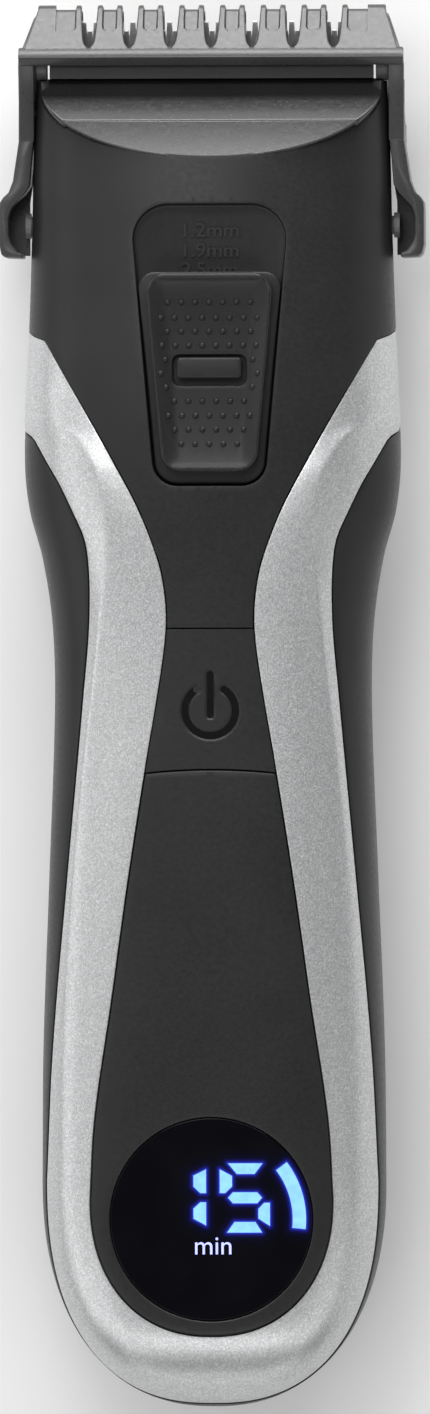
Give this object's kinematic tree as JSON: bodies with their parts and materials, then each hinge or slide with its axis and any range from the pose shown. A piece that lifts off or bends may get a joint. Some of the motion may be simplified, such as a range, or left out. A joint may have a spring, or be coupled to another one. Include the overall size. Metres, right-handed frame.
{
  "type": "beard trimmer",
  "caption": "Cordless beard trimmer with a waisted body, silver trim frame, round display, power button, thumb slider and sliding toothed comb over the blades.",
  "frame": {"origin": "on the resting plane, under the middle of the length, on the centre line", "axes": "+X to the right seen from the front, +Y from the butt to the comb, +Z out of the front face"},
  "size_m": [0.0532, 0.1752, 0.0304],
  "materials": {
    "black_plastic": "satin moulded, fine grain",
    "silver_paint": "satin metallic paint on plastic",
    "display_glass": "glossy",
    "comb_plastic": "semi-gloss",
    "grey_plastic": "satin",
    "white_plastic": "satin",
    "blade_steel": "ground",
    "motor_steel": "plated",
    "steel": "plated",
    "nickel": "plated",
    "rubber": "matte",
    "circuit_board": "solder mask",
    "battery_wrap": "shrink sleeve",
    "ribbon": "flexible circuit",
    "red_lead": "insulation",
    "black_lead": "insulation"
  },
  "bodies": {
    "housing": {"front_housing": "black_plastic", "rear_housing": "black_plastic", "silver_frame": "silver_paint", "lower_panel": "black_plastic", "display_lens": "display_glass", "display_gasket": "rubber", "display_light_box": "white_plastic", "display_board": "circuit_board", "display_ribbon": "ribbon", "blade_frame": "black_plastic", "fixed_blade": "blade_steel", "blade_screw_left": "steel", "blade_screw_right": "steel", "motor_can": "motor_steel", "motor_end_bell": "white_plastic", "motor_mount": "grey_plastic", "motor_screw_left": "steel", "motor_screw_right": "steel", "shaft_seal": "rubber", "battery_cell": "battery_wrap", "battery_cradle": "grey_plastic", "battery_tab_negative": "nickel", "battery_tab_positive": "nickel", "battery_lead_red": "red_lead", "battery_lead_black": "black_lead", "motor_lead_red": "red_lead", "motor_lead_black": "black_lead", "main_board": "circuit_board", "tact_switch": "black_plastic", "controller_chip": "black_plastic", "charge_socket_shell": "nickel", "charge_socket_tongue": "black_plastic", "charge_board": "circuit_board", "housing_screw_handle_left": "steel", "housing_screw_handle_right": "steel", "housing_screw_head_left": "steel", "housing_screw_head_right": "steel"},
    "length_slide": {"thumb_slider": "black_plastic", "slide_carriage": "grey_plastic", "carriage_screw_lower": "steel", "carriage_screw_upper": "steel", "detent_spring": "steel"},
    "lock": {"lock_key": "black_plastic"},
    "length_comb": {"comb": "comb_plastic"},
    "power_key": {"power_button": "black_plastic", "switch_plunger": "white_plastic"},
    "drive": {"motor_shaft": "steel", "eccentric_cam": "white_plastic"},
    "cutter": {"moving_blade": "blade_steel", "blade_carrier": "white_plastic"}
  },
  "joints": [
    {"name": "length_slide", "type": "slide", "parent": "housing", "child": "length_slide", "axis": [0, 1, 0], "range_m": [0, 0.0075]},
    {"name": "comb_release", "type": "slide", "parent": "length_slide", "child": "length_comb", "axis": [0, 1, 0], "range_m": [0, 0.04]},
    {"name": "lock_press", "type": "slide", "parent": "length_slide", "child": "lock", "axis": [0, 0, -1], "range_m": [0, 0.0008], "stiffness_N_per_m": 600, "springref_m": -0.0005},
    {"name": "power_press", "type": "slide", "parent": "housing", "child": "power_key", "axis": [0, 0, -1], "range_m": [0, 0.0005], "stiffness_N_per_m": 1500, "springref_m": -0.0004},
    {"name": "motor_spin", "type": "hinge", "parent": "housing", "child": "drive", "pos_m": [0, 0.05038, 0.0144], "axis": [0, 1, 0], "continuous": true},
    {"name": "cutter_stroke", "type": "slide", "parent": "housing", "child": "cutter", "axis": [1, 0, 0], "range_m": [-0.0012, 0.0012]}
  ]
}
